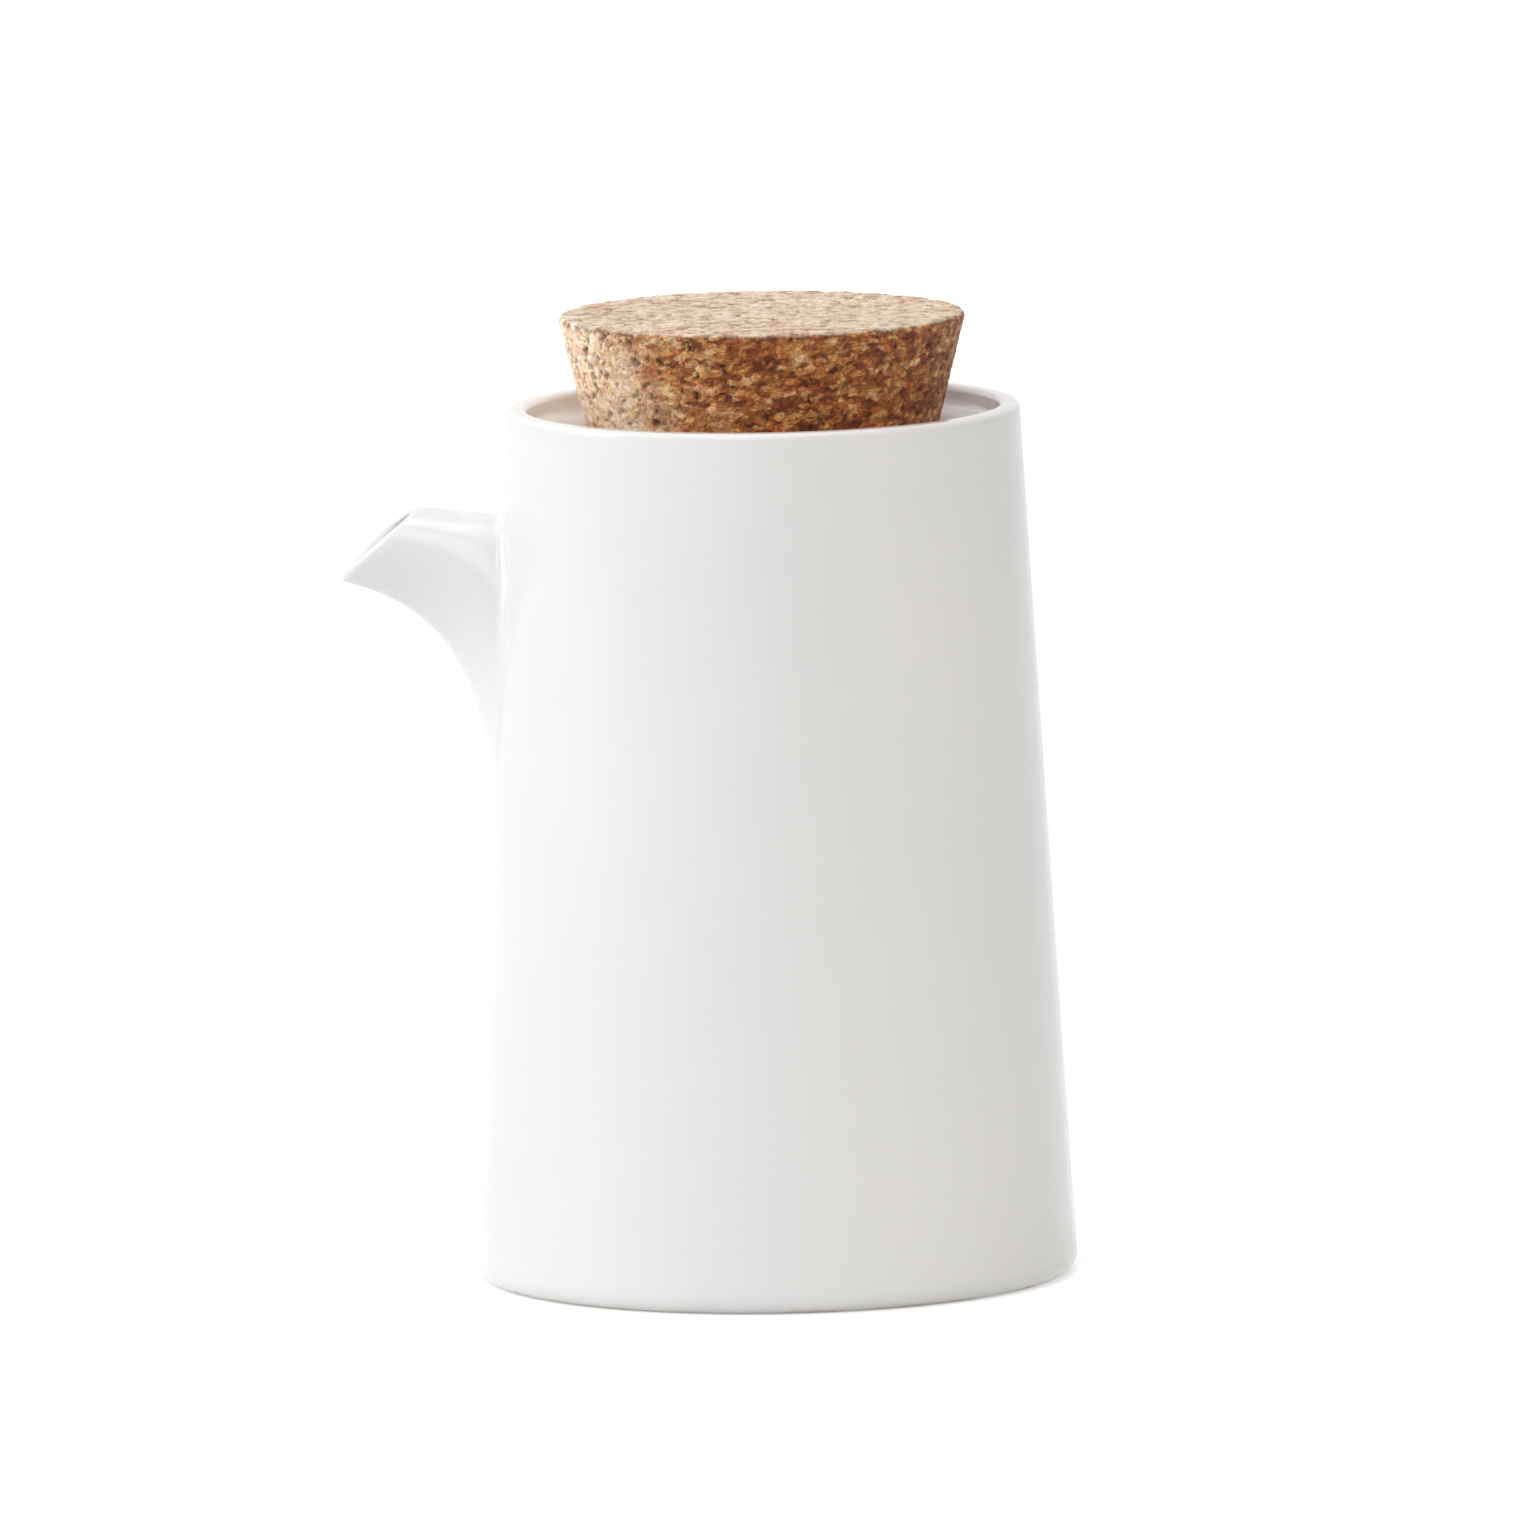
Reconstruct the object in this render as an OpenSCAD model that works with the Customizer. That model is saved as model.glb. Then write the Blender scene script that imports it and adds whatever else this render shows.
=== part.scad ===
// Oil dispenser: a one-piece porcelain jug with a beak spout, closed by a tapered cork.
// Millimetres, +Z up. The origin is on the jug's axis, on the surface that it stands on.
// The spout points along -X.

/* [Jug body] */
// Width of the body at its foot
base_d = 78; // [70:0.5:90]
// Width of the body at its rim
rim_d = 66.2; // [60:0.2:72]
// Height of the rim
body_h = 112.8; // [104:0.2:130]
// Thickness of the cast wall
wall_t = 3; // [2.4:0.1:3.6]
// Thickness of the rim
rim_t = 2.8; // [2:0.1:3.4]
// Rounding along the rim
rim_round = 0.8; // [0.4:0.1:1]
// Rounding of the heel, where the wall turns under
heel_round = 2.5; // [1:0.1:3.5]
// Thickness of the floor
floor_t = 3.6; // [2.6:0.1:5]
// Rounding between the floor and the wall inside
floor_round = 7; // [3:0.5:12]

/* [Foot ring] */
// Width of the ring that the jug stands on
foot_w = 5; // [4:0.25:9]
// Height of the hollow inside the foot ring
foot_hollow = 1.4; // [0.8:0.1:2]
// Rounding on the inner side of the foot ring
foot_round = 0.5; // [0.3:0.1:0.7]

/* [Deck and throat] */
// Drop from the rim to the deck
deck_drop = 3; // [1.6:0.1:6]
// Fall of the deck from the wall to the throat
deck_fall = 0.5; // [0.2:0.1:1.5]
// Thickness of the deck
deck_t = 3.4; // [2.6:0.1:5]
// Rounding between the deck and the rim
deck_round = 1.4; // [0.6:0.1:1.5]
// Rounding on the two edges of the throat
throat_round = 0.8; // [0.3:0.1:1.2]

/* [Cork] */
// Width of the cork across its top
cork_top_d = 52.8; // [50:0.2:56]
// Width of the cork across its bottom
cork_bottom_d = 40.2; // [36:0.2:43]
// Length of the cork
cork_h = 25; // [20:0.5:32]
// Height of the cork's top above the rim
cork_proud = 12; // [9:0.5:16]
// Rounding round the two ends of the cork
cork_round = 0.7; // [0.3:0.1:1.5]
// Running gap between the cork and the throat
cork_gap = 0.2; // [0.1:0.05:0.4]

/* [Spout outline] */
// Drop from the rim to the top of the spout, at the wall
spout_drop = 13.8; // [12:0.2:20]
// Rise of the spout's top towards its mouth, in degrees
spout_rise = 6.5; // [0:0.5:12]
// Distance from the axis to the top of the mouth
mouth_x = 44.8; // [42:0.2:50]
// Distance from the axis to the tip of the pouring lip
tip_x = 55; // [52:0.2:62]
// Drop from the rim to the tip of the pouring lip
tip_drop = 21.9; // [19:0.1:26]
// Slope of the underside at the tip, in degrees
tip_slope = 15; // [8:1:25]
// Length of the straighter run behind the tip
tip_run = 8; // [6:0.1:12]
// Height where the underside starts to leave the wall
under_z = 55; // [50:1:66]
// Length over which the underside follows the wall
under_run = 30; // [16:0.5:32]

/* [Spout section] */
// Width of the spout where it meets the wall
root_w = 16; // [14:0.5:22]
// Width of the mouth
mouth_w = 11.2; // [9:0.2:13]
// How much wider the upper half of each section is, as a share of the width
top_fullness = 0.3; // [0:0.05:0.4]
// Form of each section at its top: 1 is an ellipse, less is squarer
crown_power = 0.85; // [0.7:0.05:1]
// Form of each section at its underside: more than 1 draws it out to a keel
keel_power = 1.2; // [1:0.05:1.4]
// How far the sides of the mouth stand forward of a flat cut
mouth_bulge = 0.4; // [0:0.1:1.5]
// Form of each section of the passage, all round: 1 is an ellipse, less is squarer
passage_power = 0.9; // [0.8:0.05:1]
// Thickness of the spout's wall
spout_t = 1.7; // [1.5:0.1:2.4]
// Thickness of the pouring lip, measured along the mouth
lip_t = 1.8; // [1.5:0.1:2.6]
// Rounding along the pouring lip
lip_round = 0.7; // [0.3:0.1:0.8]
// Size of the fillet between the spout and the body
root_fillet = 1.4; // [0.8:0.1:2.5]
// Height of the bottom of the passage into the spout
passage_z = 69; // [66:0.5:76]
// Slope at which the passage's underside leaves the oil space, in degrees
passage_slope = 62; // [50:1:70]
// Length over which the passage's underside keeps near to that slope
passage_run = 15; // [10:0.5:18]

/* [Hidden] */

// Sides of a round form
round_n = 96;
// Steps along a quarter turn of a rounding
round_steps = 5;
// Points round one section of the spout
section_n = 40;
// Sections along the free length of the spout
station_n = 12;
// Steps across the fillet at the spout's root
fillet_n = 5;
// Steps over the rounding of the lip
lip_n = 3;
// Times that the search for the spout's root halves its range
halvings = 18;
// Turn about the spout to a neighbouring line, in degrees
line_turn = 2;
// Depth below the wall's surface at which the spout's lines start
root_sink = 0.3;
// Depth below the wall's surface at which the spout's hidden root ends
root_depth = 1.6;
// How far the passage starts inside the oil space
passage_in = 1.5;
// How far a cutting shape runs past the surface that it opens
cut_over = 3;

spout_z = body_h - spout_drop;
tip_z = body_h - tip_drop;
deck_z = body_h - deck_drop;
cork_top_z = body_h + cork_proud;
cork_bottom_z = cork_top_z - cork_h;

// Outer radius of the body's wall at a height
function wall_r(z) = base_d / 2 - (base_d - rim_d) / 2 * z / body_h;
// Radius of the cork at a height
function cork_r(z) = cork_bottom_d / 2 + (cork_top_d - cork_bottom_d) / 2 * (z - cork_bottom_z) / cork_h;
// Radius of the throat at a height
function throat_r(z) = cork_r(z) + cork_gap;

function unit(v) = v / norm(v);
function left_of(v) = [-v.y, v.x];
function along(angle) = [cos(angle), sin(angle)];

// The corner b of a path a, b, c, rounded to radius r
function rounded_corner(a, b, c, r) =
    let (
        u = unit(a - b),
        v = unit(c - b),
        half = acos(u * v) / 2,
        centre = b + unit(u + v) * r / sin(half),
        from = unit(b + u * r / tan(half) - centre),
        turn = 180 - 2 * half,
        way = (u.x * v.y - u.y * v.x) > 0 ? -1 : 1,
        steps = max(1, ceil(round_steps * turn / 90))
    )
    [for (i = [0:steps]) centre + r * (from * cos(way * turn * i / steps)
                                       + left_of(from) * sin(way * turn * i / steps))];

// A closed outline from corners [x, y, rounding]; a corner with no rounding stays sharp
function outline(corners) =
    let (n = len(corners))
    [for (i = [0:n - 1])
        let (
            a = corners[(i + n - 1) % n],
            b = corners[i],
            c = corners[(i + 1) % n]
        )
        each b[2] > 0 ? rounded_corner([a.x, a.y], [b.x, b.y], [c.x, c.y], b[2]) : [[b.x, b.y]]];

// Section of the body: foot ring, wall, rim, deck, throat, oil space and floor
module body_section() {
    foot_in = wall_r(0) - heel_round - foot_w;
    under_deck_z = deck_z - deck_t;
    polygon(outline([
        [0, foot_hollow, 0],
        [foot_in, foot_hollow, foot_round],
        [foot_in, 0, foot_round],
        [wall_r(0), 0, heel_round],
        [wall_r(body_h), body_h, rim_round],
        [wall_r(body_h) - rim_t, body_h, rim_round],
        [wall_r(deck_z) - rim_t, deck_z, deck_round],
        [throat_r(deck_z - deck_fall), deck_z - deck_fall, throat_round],
        [throat_r(under_deck_z), under_deck_z, throat_round],
        [wall_r(under_deck_z) - wall_t, under_deck_z, wall_t],
        [wall_r(floor_t) - wall_t, floor_t + foot_hollow, floor_round],
        [0, floor_t + foot_hollow, 0]
    ]));
}

// Side view of the spout, with x measured outwards from the axis
wall_up = unit([wall_r(1) - wall_r(0), 1]);
top_root = [wall_r(spout_z) - root_sink, spout_z];
mouth_top = top_root + along(spout_rise) * (mouth_x - top_root.x) / cos(spout_rise);
tip = [tip_x, tip_z];
under_root = [wall_r(under_z) - root_sink, under_z];
mouth_down = unit(tip - mouth_top);
mouth_out = left_of(mouth_down);
// The share of the spout's length that the rounding of its lip takes
lip_share = lip_round / norm(mouth_top - top_root);

function cubic(a, b, c, d, t) =
    pow(1 - t, 3) * a + 3 * pow(1 - t, 2) * t * b + 3 * (1 - t) * t * t * c + pow(t, 3) * d;
function mix(a, b, t) = a + (b - a) * t;

// Upper and lower lines of the outside of the spout, from the root at 0 to the mouth at 1
function outer_top(s) = mix(top_root, mouth_top, s);
function outer_under(s) =
    cubic(under_root, under_root + wall_up * under_run, tip - along(tip_slope) * tip_run, tip, s);

// Upper and lower lines of the passage inside it
passage_top = [wall_r(spout_z) - wall_t - passage_in, spout_z - spout_t];
passage_under = [wall_r(passage_z) - wall_t - passage_in, passage_z];
inner_tip = tip - mouth_down * lip_t;
function inner_top(s) = mix(passage_top, mouth_top + mouth_down * spout_t, s);
function inner_under(s) =
    cubic(passage_under, passage_under + along(passage_slope) * passage_run,
          inner_tip - along(tip_slope) * tip_run, inner_tip, s);

function signed_pow(x, power) = sign(x) * pow(abs(x), power);
// One point of a section between an upper and a lower point, turned to 3D
function section_point(top, under, half_w, power, s, phi) =
    let (
        middle = (top + under) / 2,
        reach = (top - under) / 2,
        side = middle + reach * signed_pow(cos(phi), min(power, 1))
             + mouth_out * mouth_bulge * s * s * pow(sin(phi), 2)
    )
    [side.x, half_w * signed_pow(sin(phi), power) * (1 + top_fullness * cos(phi)), side.y];

function half_width(s) = mix(root_w, mouth_w, s) / 2;
// A point of the outside, and one of the passage, at a station s and an angle phi from the top
function outer_point(s, phi, inset = 0) =
    let (
        top = outer_top(s),
        under = outer_under(s),
        down = unit(under - top),
        power = mix(crown_power, keel_power, (1 - cos(phi)) / 2)
    )
    section_point(top + down * inset, under - down * inset, half_width(s) - inset, power, s, phi);
function inner_point(s, phi, inset = 0) =
    let (
        top = inner_top(s),
        under = inner_under(s),
        down = unit(under - top)
    )
    section_point(top + down * inset, under - down * inset, half_width(s) - spout_t - inset,
                  passage_power, s, phi);

// How far a point lies outside the wall
function outside_wall(p) = norm([p.x, p.y]) - wall_r(p.z);
// The station where the spout's line at phi leaves the wall
function leave_wall(phi, low = 0, high = 1, n = halvings) =
    n == 0 ? (low + high) / 2 :
    let (half = (low + high) / 2)
    outside_wall(outer_point(half, phi)) > 0 ? leave_wall(phi, low, half, n - 1)
                                             : leave_wall(phi, half, high, n - 1);

// A point of the wall unrolled to [arc length, height], and back at a depth below the surface
function unroll(p) = [wall_r(p.z) * atan2(p.y, p.x) * PI / 180, p.z];
function roll(q, depth) =
    let (
        r = wall_r(q.y),
        angle = q.x / r * 180 / PI
    )
    [(r - depth) * cos(angle), (r - depth) * sin(angle), q.y];

// Where the spout's line at phi leaves the wall, and the fillet's edge on the wall beside it
function root_point(phi) = outer_point(leave_wall(phi), phi);
function fillet_foot(phi, depth) =
    let (
        here = unroll(root_point(phi)),
        ahead = unroll(root_point(phi + line_turn)),
        behind = unroll(root_point(phi - line_turn))
    )
    roll(here - left_of(unit(behind - ahead)) * root_fillet, depth);
function quadratic(a, b, c, t) = pow(1 - t, 2) * a + 2 * (1 - t) * t * b + t * t * c;

// The outside of the spout: a root inside the wall, a fillet, the free length and the rounded lip
module spout_outside() {
    lines = [for (i = [0:section_n - 1])
        let (
            phi = 360 * i / section_n,
            s0 = leave_wall(phi),
            step = root_fillet / norm(outer_point(1, phi) - outer_point(s0, phi)) * (1 - s0),
            s1 = s0 + step,
            a = fillet_foot(phi, root_sink),
            b = outer_point(s0, phi),
            c = outer_point(s1, phi)
        )
        [
            fillet_foot(phi, root_depth),
            for (k = [0:fillet_n - 1]) quadratic(a, b, c, k / fillet_n),
            for (k = [0:station_n]) outer_point(mix(s1, 1 - lip_share, k / station_n), phi),
            for (k = [1:lip_n]) let (turn = 90 * k / lip_n)
                outer_point(1 - lip_share * (1 - sin(turn)), phi, lip_round * (1 - cos(turn)))
        ]];
    loft(lines);
}

// The passage, from the oil space to past the mouth, flared by the rounding of the lip
module spout_passage() {
    past = mouth_out * cut_over;
    lines = [for (i = [0:section_n - 1])
        let (phi = 360 * i / section_n)
        [
            for (k = [0:station_n]) inner_point((1 - lip_share) * k / station_n, phi),
            for (k = [1:lip_n]) let (turn = 90 * k / lip_n)
                inner_point(1 - lip_share * (1 - sin(turn)), phi, -lip_round * (1 - cos(turn))),
            inner_point(1, phi, -lip_round) + [past.x, 0, past.y]
        ]];
    loft(lines);
}

// A closed solid through lines of points that run side by side from one end to the other
module loft(lines) {
    n = len(lines);
    m = len(lines[0]);
    function ring_centre(k) = [for (i = [0:n - 1]) 1 / n] * [for (line = lines) line[k]];
    points = concat([for (line = lines) each line], [ring_centre(0), ring_centre(m - 1)]);
    faces = [
        for (i = [0:n - 1])
            let (j = (i + 1) % n)
            each [
                for (k = [0:m - 2]) each [
                    [i * m + k, j * m + k, j * m + k + 1],
                    [i * m + k, j * m + k + 1, i * m + k + 1]
                ],
                [n * m, j * m, i * m],
                [n * m + 1, i * m + m - 1, j * m + m - 1]
            ]
    ];
    polyhedron(points, faces);
}

module jug_body() {
    color("white")
        difference() {
            union() {
                rotate_extrude($fn = round_n) body_section();
                rotate([0, 0, 180]) spout_outside();
            }
            rotate([0, 0, 180]) spout_passage();
        }
}

module cork_stopper() {
    color("tan")
        rotate_extrude($fn = round_n)
            polygon(outline([
                [0, cork_bottom_z, 0],
                [cork_bottom_d / 2, cork_bottom_z, cork_round],
                [cork_top_d / 2, cork_top_z, cork_round],
                [0, cork_top_z, 0]
            ]));
}

jug_body();
cork_stopper();
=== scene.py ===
import math

import bpy
import numpy as np
from mathutils import Matrix, Vector, kdtree, noise


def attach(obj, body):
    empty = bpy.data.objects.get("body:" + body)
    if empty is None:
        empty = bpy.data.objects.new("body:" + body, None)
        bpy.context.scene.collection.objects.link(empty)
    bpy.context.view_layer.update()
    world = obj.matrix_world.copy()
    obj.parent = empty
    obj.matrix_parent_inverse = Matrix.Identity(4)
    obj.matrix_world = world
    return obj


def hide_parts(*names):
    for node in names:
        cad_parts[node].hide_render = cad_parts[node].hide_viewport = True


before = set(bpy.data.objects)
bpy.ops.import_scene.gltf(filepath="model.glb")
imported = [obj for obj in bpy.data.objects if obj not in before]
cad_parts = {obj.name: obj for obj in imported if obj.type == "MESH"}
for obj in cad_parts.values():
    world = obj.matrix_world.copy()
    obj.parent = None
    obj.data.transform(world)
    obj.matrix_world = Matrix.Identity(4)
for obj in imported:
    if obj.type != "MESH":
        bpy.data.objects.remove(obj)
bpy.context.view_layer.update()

rng = np.random.default_rng(7)
noise.seed_set(7)

# The camera in metres, fitted to the ellipses of the rim, the cork and the foot in the photograph
PITCH = math.radians(7.302)
ROLL = math.radians(0.927)
DISTANCE = 3.7197
TARGET = Vector((-0.000079, 0.0, 0.065662))
LENS = 676.71
SENSOR = 36

# The jug in millimetres, with the part source's names
BASE_D = 78
RIM_D = 66.2
BODY_H = 112.8
WALL_T = 3
RIM_T = 2.8
RIM_ROUND = 0.8
HEEL_ROUND = 2.5
FLOOR_T = 3.6
FLOOR_ROUND = 7
FOOT_W = 5
FOOT_HOLLOW = 1.4
FOOT_ROUND = 0.5
DECK_DROP = 3
DECK_FALL = 0.5
DECK_T = 3.4
DECK_ROUND = 1.4
THROAT_ROUND = 0.8

# The cork
CORK_TOP_D = 52.8
CORK_BOTTOM_D = 40.2
CORK_H = 25
CORK_PROUD = 12
CORK_ROUND = 0.7
CORK_GAP = 0.2

# The spout: its outline, its sections and its passage. Slopes are in degrees
SPOUT_DROP = 13.8
SPOUT_RISE = 6.5
MOUTH_X = 44.8
TIP_X = 55
TIP_DROP = 21.9
TIP_SLOPE = 15
TIP_RUN = 8
UNDER_Z = 55
UNDER_RUN = 30
ROOT_W = 16
MOUTH_W = 11.2
TOP_FULLNESS = 0.3
CROWN_POWER = 0.85
KEEL_POWER = 1.2
MOUTH_BULGE = 0.4
PASSAGE_POWER = 0.9
SPOUT_T = 1.7
LIP_T = 1.8
LIP_ROUND = 0.7
ROOT_FILLET = 1.4
ROOT_SINK = 0.3
PASSAGE_Z = 69
PASSAGE_SLOPE = 62
PASSAGE_RUN = 15
PASSAGE_IN = 1.5

# Fineness of the jug's mesh. The walls are left open in a window round the spout's root
JUG_TURNS = 288
JUG_STEP = 1.6
CORNER_STEPS = 9
HALF_COLUMNS = 15
WINDOW_LOW = 48
WINDOW_HIGH = 104
WINDOW_ROWS = 42
WALL_RISE = 60
PATCH_STEPS = 8
PATCH_CROWDING = 0.8
FILLET_STEPS = 10
SPOUT_STEPS = 36
LIP_STEPS = 6
PASSAGE_STEPS = 30
CAVITY_STEPS = 6
HALVINGS = 40

# Fineness of the cork's mesh, and the seeds of its granules
CORK_TURNS = 560
CORK_ROWS = 84
CORK_CORNER_STEPS = 6
SEEDS = 52000
SEED_REACH = 27.5
SEED_RADIUS = 28.5
SEED_DEPTH = 3
SEED_MARGIN = 2
SQUASH = 1.7

# Worked out from the sizes
SPOUT_Z = BODY_H - SPOUT_DROP
TIP_Z = BODY_H - TIP_DROP
DECK_Z = BODY_H - DECK_DROP
UNDER_DECK_Z = DECK_Z - DECK_T
CAVITY_FOOT_Z = FLOOR_T + FOOT_HOLLOW
CORK_TOP_Z = BODY_H + CORK_PROUD
CORK_BOTTOM_Z = CORK_TOP_Z - CORK_H
QUARTER = math.pi / 2
FULL_TURN = 2 * math.pi


def wall_r(z):
    return BASE_D / 2 - (BASE_D - RIM_D) / 2 * z / BODY_H


def cork_r(z):
    return CORK_BOTTOM_D / 2 + (CORK_TOP_D - CORK_BOTTOM_D) / 2 * (z - CORK_BOTTOM_Z) / CORK_H


def throat_r(z):
    return cork_r(z) + CORK_GAP


def cavity_r(z):
    low, high = wall_r(FLOOR_T) - WALL_T, wall_r(UNDER_DECK_Z) - WALL_T
    return low + (high - low) * (z - CAVITY_FOOT_Z) / (UNDER_DECK_Z - CAVITY_FOOT_Z)


def unit(v):
    v = np.asarray(v, float)
    return v / np.linalg.norm(v, axis=-1, keepdims=True)


def left_of(v):
    return np.stack([-v[..., 1], v[..., 0]], -1)


def along(degrees):
    return np.array([math.cos(math.radians(degrees)), math.sin(math.radians(degrees))])


def circle(r, z, angles):
    return np.stack([r * np.cos(angles), r * np.sin(angles), np.full(len(angles), z)], -1)


def rounded_corner(a, b, c, r, steps_per_quarter):
    """The arc of radius r that rounds the corner b between a and c"""
    a, b, c = (np.array(p[:2], float) for p in (a, b, c))
    u, v = unit(a - b), unit(c - b)
    half = math.acos(float(u @ v)) / 2
    centre = b + unit(u + v) * r / math.sin(half)
    start = unit(b + u * r / math.tan(half) - centre)
    turn = math.pi - 2 * half
    way = -1 if u[0] * v[1] - u[1] * v[0] > 0 else 1
    steps = max(2, math.ceil(steps_per_quarter * turn / QUARTER))
    turns = [way * turn * i / steps for i in range(steps + 1)]
    return [centre + r * (start * math.cos(t) + left_of(start) * math.sin(t)) for t in turns]


def outline(corners, steps_per_quarter):
    """The line through corners given as x, y and the radius of their rounding"""
    points = []
    for i, b in enumerate(corners):
        a, c = corners[i - 1], corners[(i + 1) % len(corners)]
        if b[2] > 0:
            points += rounded_corner(a, b, c, b[2], steps_per_quarter)
        else:
            points.append(np.array(b[:2], float))
    return points


def place_camera():
    ahead = Vector((0, math.cos(PITCH), -math.sin(PITCH)))
    level_up = Vector((0, math.sin(PITCH), math.cos(PITCH)))
    level_right = Vector((1, 0, 0))
    right = level_right * math.cos(ROLL) - level_up * math.sin(ROLL)
    up = level_up * math.cos(ROLL) + level_right * math.sin(ROLL)
    data = bpy.data.cameras.new("camera")
    data.sensor_width = SENSOR
    data.lens = LENS
    camera = bpy.data.objects.new("camera", data)
    turned = Matrix((right, up, -ahead)).transposed().to_4x4()
    camera.matrix_world = Matrix.Translation(TARGET - ahead * DISTANCE) @ turned
    bpy.context.scene.collection.objects.link(camera)
    bpy.context.scene.camera = camera


class Shape:
    """The points and faces of a mesh that is being made, in millimetres"""

    def __init__(self):
        self.points, self.faces = [], []

    def add(self, points):
        """Adds points and returns their numbers"""
        start = len(self.points)
        self.points.extend(map(tuple, np.asarray(points, float)))
        return np.arange(start, len(self.points))

    def band(self, low, high):
        """Joins two rings of as many points"""
        for i in range(len(low)):
            n = (i + 1) % len(low)
            self.faces.append((low[i], low[n], high[n], high[i]))

    def make(self, name, sharp=()):
        """A smooth mesh object, with some edges left sharp"""
        mesh = bpy.data.meshes.new(name)
        metres = [tuple(p) for p in np.asarray(self.points) * 0.001]
        mesh.from_pydata(metres, [], [tuple(map(int, f)) for f in self.faces])
        mesh.shade_smooth()
        marked = {tuple(sorted((int(a), int(b)))) for a, b in sharp}
        for e in mesh.edges:
            if tuple(sorted(e.vertices)) in marked:
                e.use_edge_sharp = True
        mesh.validate()
        obj = bpy.data.objects.new(name, mesh)
        bpy.context.scene.collection.objects.link(obj)
        return obj


# Side view of the spout: x is measured outwards from the axis
TOP_ROOT = np.array([wall_r(SPOUT_Z) - ROOT_SINK, SPOUT_Z])
MOUTH_TOP = TOP_ROOT + along(SPOUT_RISE) * (MOUTH_X - TOP_ROOT[0]) / math.cos(math.radians(SPOUT_RISE))
TIP = np.array([TIP_X, TIP_Z])
UNDER_ROOT = np.array([wall_r(UNDER_Z) - ROOT_SINK, UNDER_Z])
MOUTH_DOWN = unit(TIP - MOUTH_TOP)
MOUTH_OUT = left_of(MOUTH_DOWN)
LIP_SHARE = LIP_ROUND / np.linalg.norm(MOUTH_TOP - TOP_ROOT)
WALL_UP = unit(np.array([wall_r(1) - wall_r(0), 1]))
PASSAGE_TOP = np.array([wall_r(SPOUT_Z) - WALL_T - PASSAGE_IN, SPOUT_Z - SPOUT_T])
PASSAGE_UNDER = np.array([wall_r(PASSAGE_Z) - WALL_T - PASSAGE_IN, PASSAGE_Z])
INNER_MOUTH_TOP = MOUTH_TOP + MOUTH_DOWN * SPOUT_T
INNER_TIP = TIP - MOUTH_DOWN * LIP_T


def cubic(a, b, c, d, t):
    t = t[:, None]
    return (1 - t) ** 3 * a + 3 * (1 - t) ** 2 * t * b + 3 * (1 - t) * t * t * c + t ** 3 * d


def half_width(s):
    return (ROOT_W + (MOUTH_W - ROOT_W) * s) / 2


def section_point(top, under, half_w, power, s, phi):
    """Points of a spout section at the angle phi, which is 0 at its top"""
    middle, reach = (top + under) / 2, (top - under) / 2
    c, d = np.cos(phi), np.sin(phi)
    side = middle + reach * (np.sign(c) * np.abs(c) ** np.minimum(power, 1))[:, None]
    side = side + MOUTH_OUT * (MOUTH_BULGE * s * s * d * d)[:, None]
    y = half_w * np.sign(d) * np.abs(d) ** power * (1 + TOP_FULLNESS * c)
    return np.stack([side[:, 0], y, side[:, 1]], -1)


def outer_point(s, phi, inset=0.0):
    """Points of the spout's outside at the stations s, from 0 at its root to 1 at its mouth"""
    s = np.broadcast_to(np.asarray(s, float), phi.shape)
    top = TOP_ROOT + (MOUTH_TOP - TOP_ROOT) * s[:, None]
    before_tip = TIP - along(TIP_SLOPE) * TIP_RUN
    under = cubic(UNDER_ROOT, UNDER_ROOT + WALL_UP * UNDER_RUN, before_tip, TIP, s)
    down = unit(under - top) * inset
    power = CROWN_POWER + (KEEL_POWER - CROWN_POWER) * (1 - np.cos(phi)) / 2
    return section_point(top + down, under - down, half_width(s) - inset, power, s, phi)


def inner_point(s, phi, inset=0.0):
    """Points of the passage at the stations s"""
    s = np.broadcast_to(np.asarray(s, float), phi.shape)
    top = PASSAGE_TOP + (INNER_MOUTH_TOP - PASSAGE_TOP) * s[:, None]
    after_root = PASSAGE_UNDER + along(PASSAGE_SLOPE) * PASSAGE_RUN
    before_tip = INNER_TIP - along(TIP_SLOPE) * TIP_RUN
    under = cubic(PASSAGE_UNDER, after_root, before_tip, INNER_TIP, s)
    down = unit(under - top) * inset
    power = np.full(phi.shape, PASSAGE_POWER)
    return section_point(top + down, under - down, half_width(s) - SPOUT_T - inset, power, s, phi)


def leaves(point, radius, phi):
    """The station at which each line of a spout surface crosses a wall of the given radius"""
    low, high = np.zeros(phi.shape), np.ones(phi.shape)
    for _ in range(HALVINGS):
        mid = (low + high) / 2
        p = point(mid, phi)
        outside = np.hypot(p[:, 0], p[:, 1]) > radius(p[:, 2])
        high, low = np.where(outside, mid, high), np.where(outside, low, mid)
    return (low + high) / 2


def unroll(p):
    """Lays points of the outer wall flat"""
    return np.stack([wall_r(p[:, 2]) * np.arctan2(p[:, 1], p[:, 0]), p[:, 2]], -1)


def roll(q):
    """Puts flat points back on the outer wall"""
    r = wall_r(q[:, 1])
    return np.stack([r * np.cos(q[:, 0] / r), r * np.sin(q[:, 0] / r), q[:, 1]], -1)


def root_point(phi):
    return outer_point(leaves(outer_point, wall_r, phi), phi)


def fillet_foot(phi):
    """Points on the wall where the fillet round the spout's root ends"""
    step = math.radians(2)
    ahead, behind = unroll(root_point(phi + step)), unroll(root_point(phi - step))
    return roll(unroll(root_point(phi)) - left_of(unit(behind - ahead)) * ROOT_FILLET)


def heights_between(low, high):
    """Even heights between two others, without either of them"""
    count = max(2, int(abs(high - low) / JUG_STEP))
    return np.linspace(low, high, count, endpoint=False)[1:]


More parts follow.
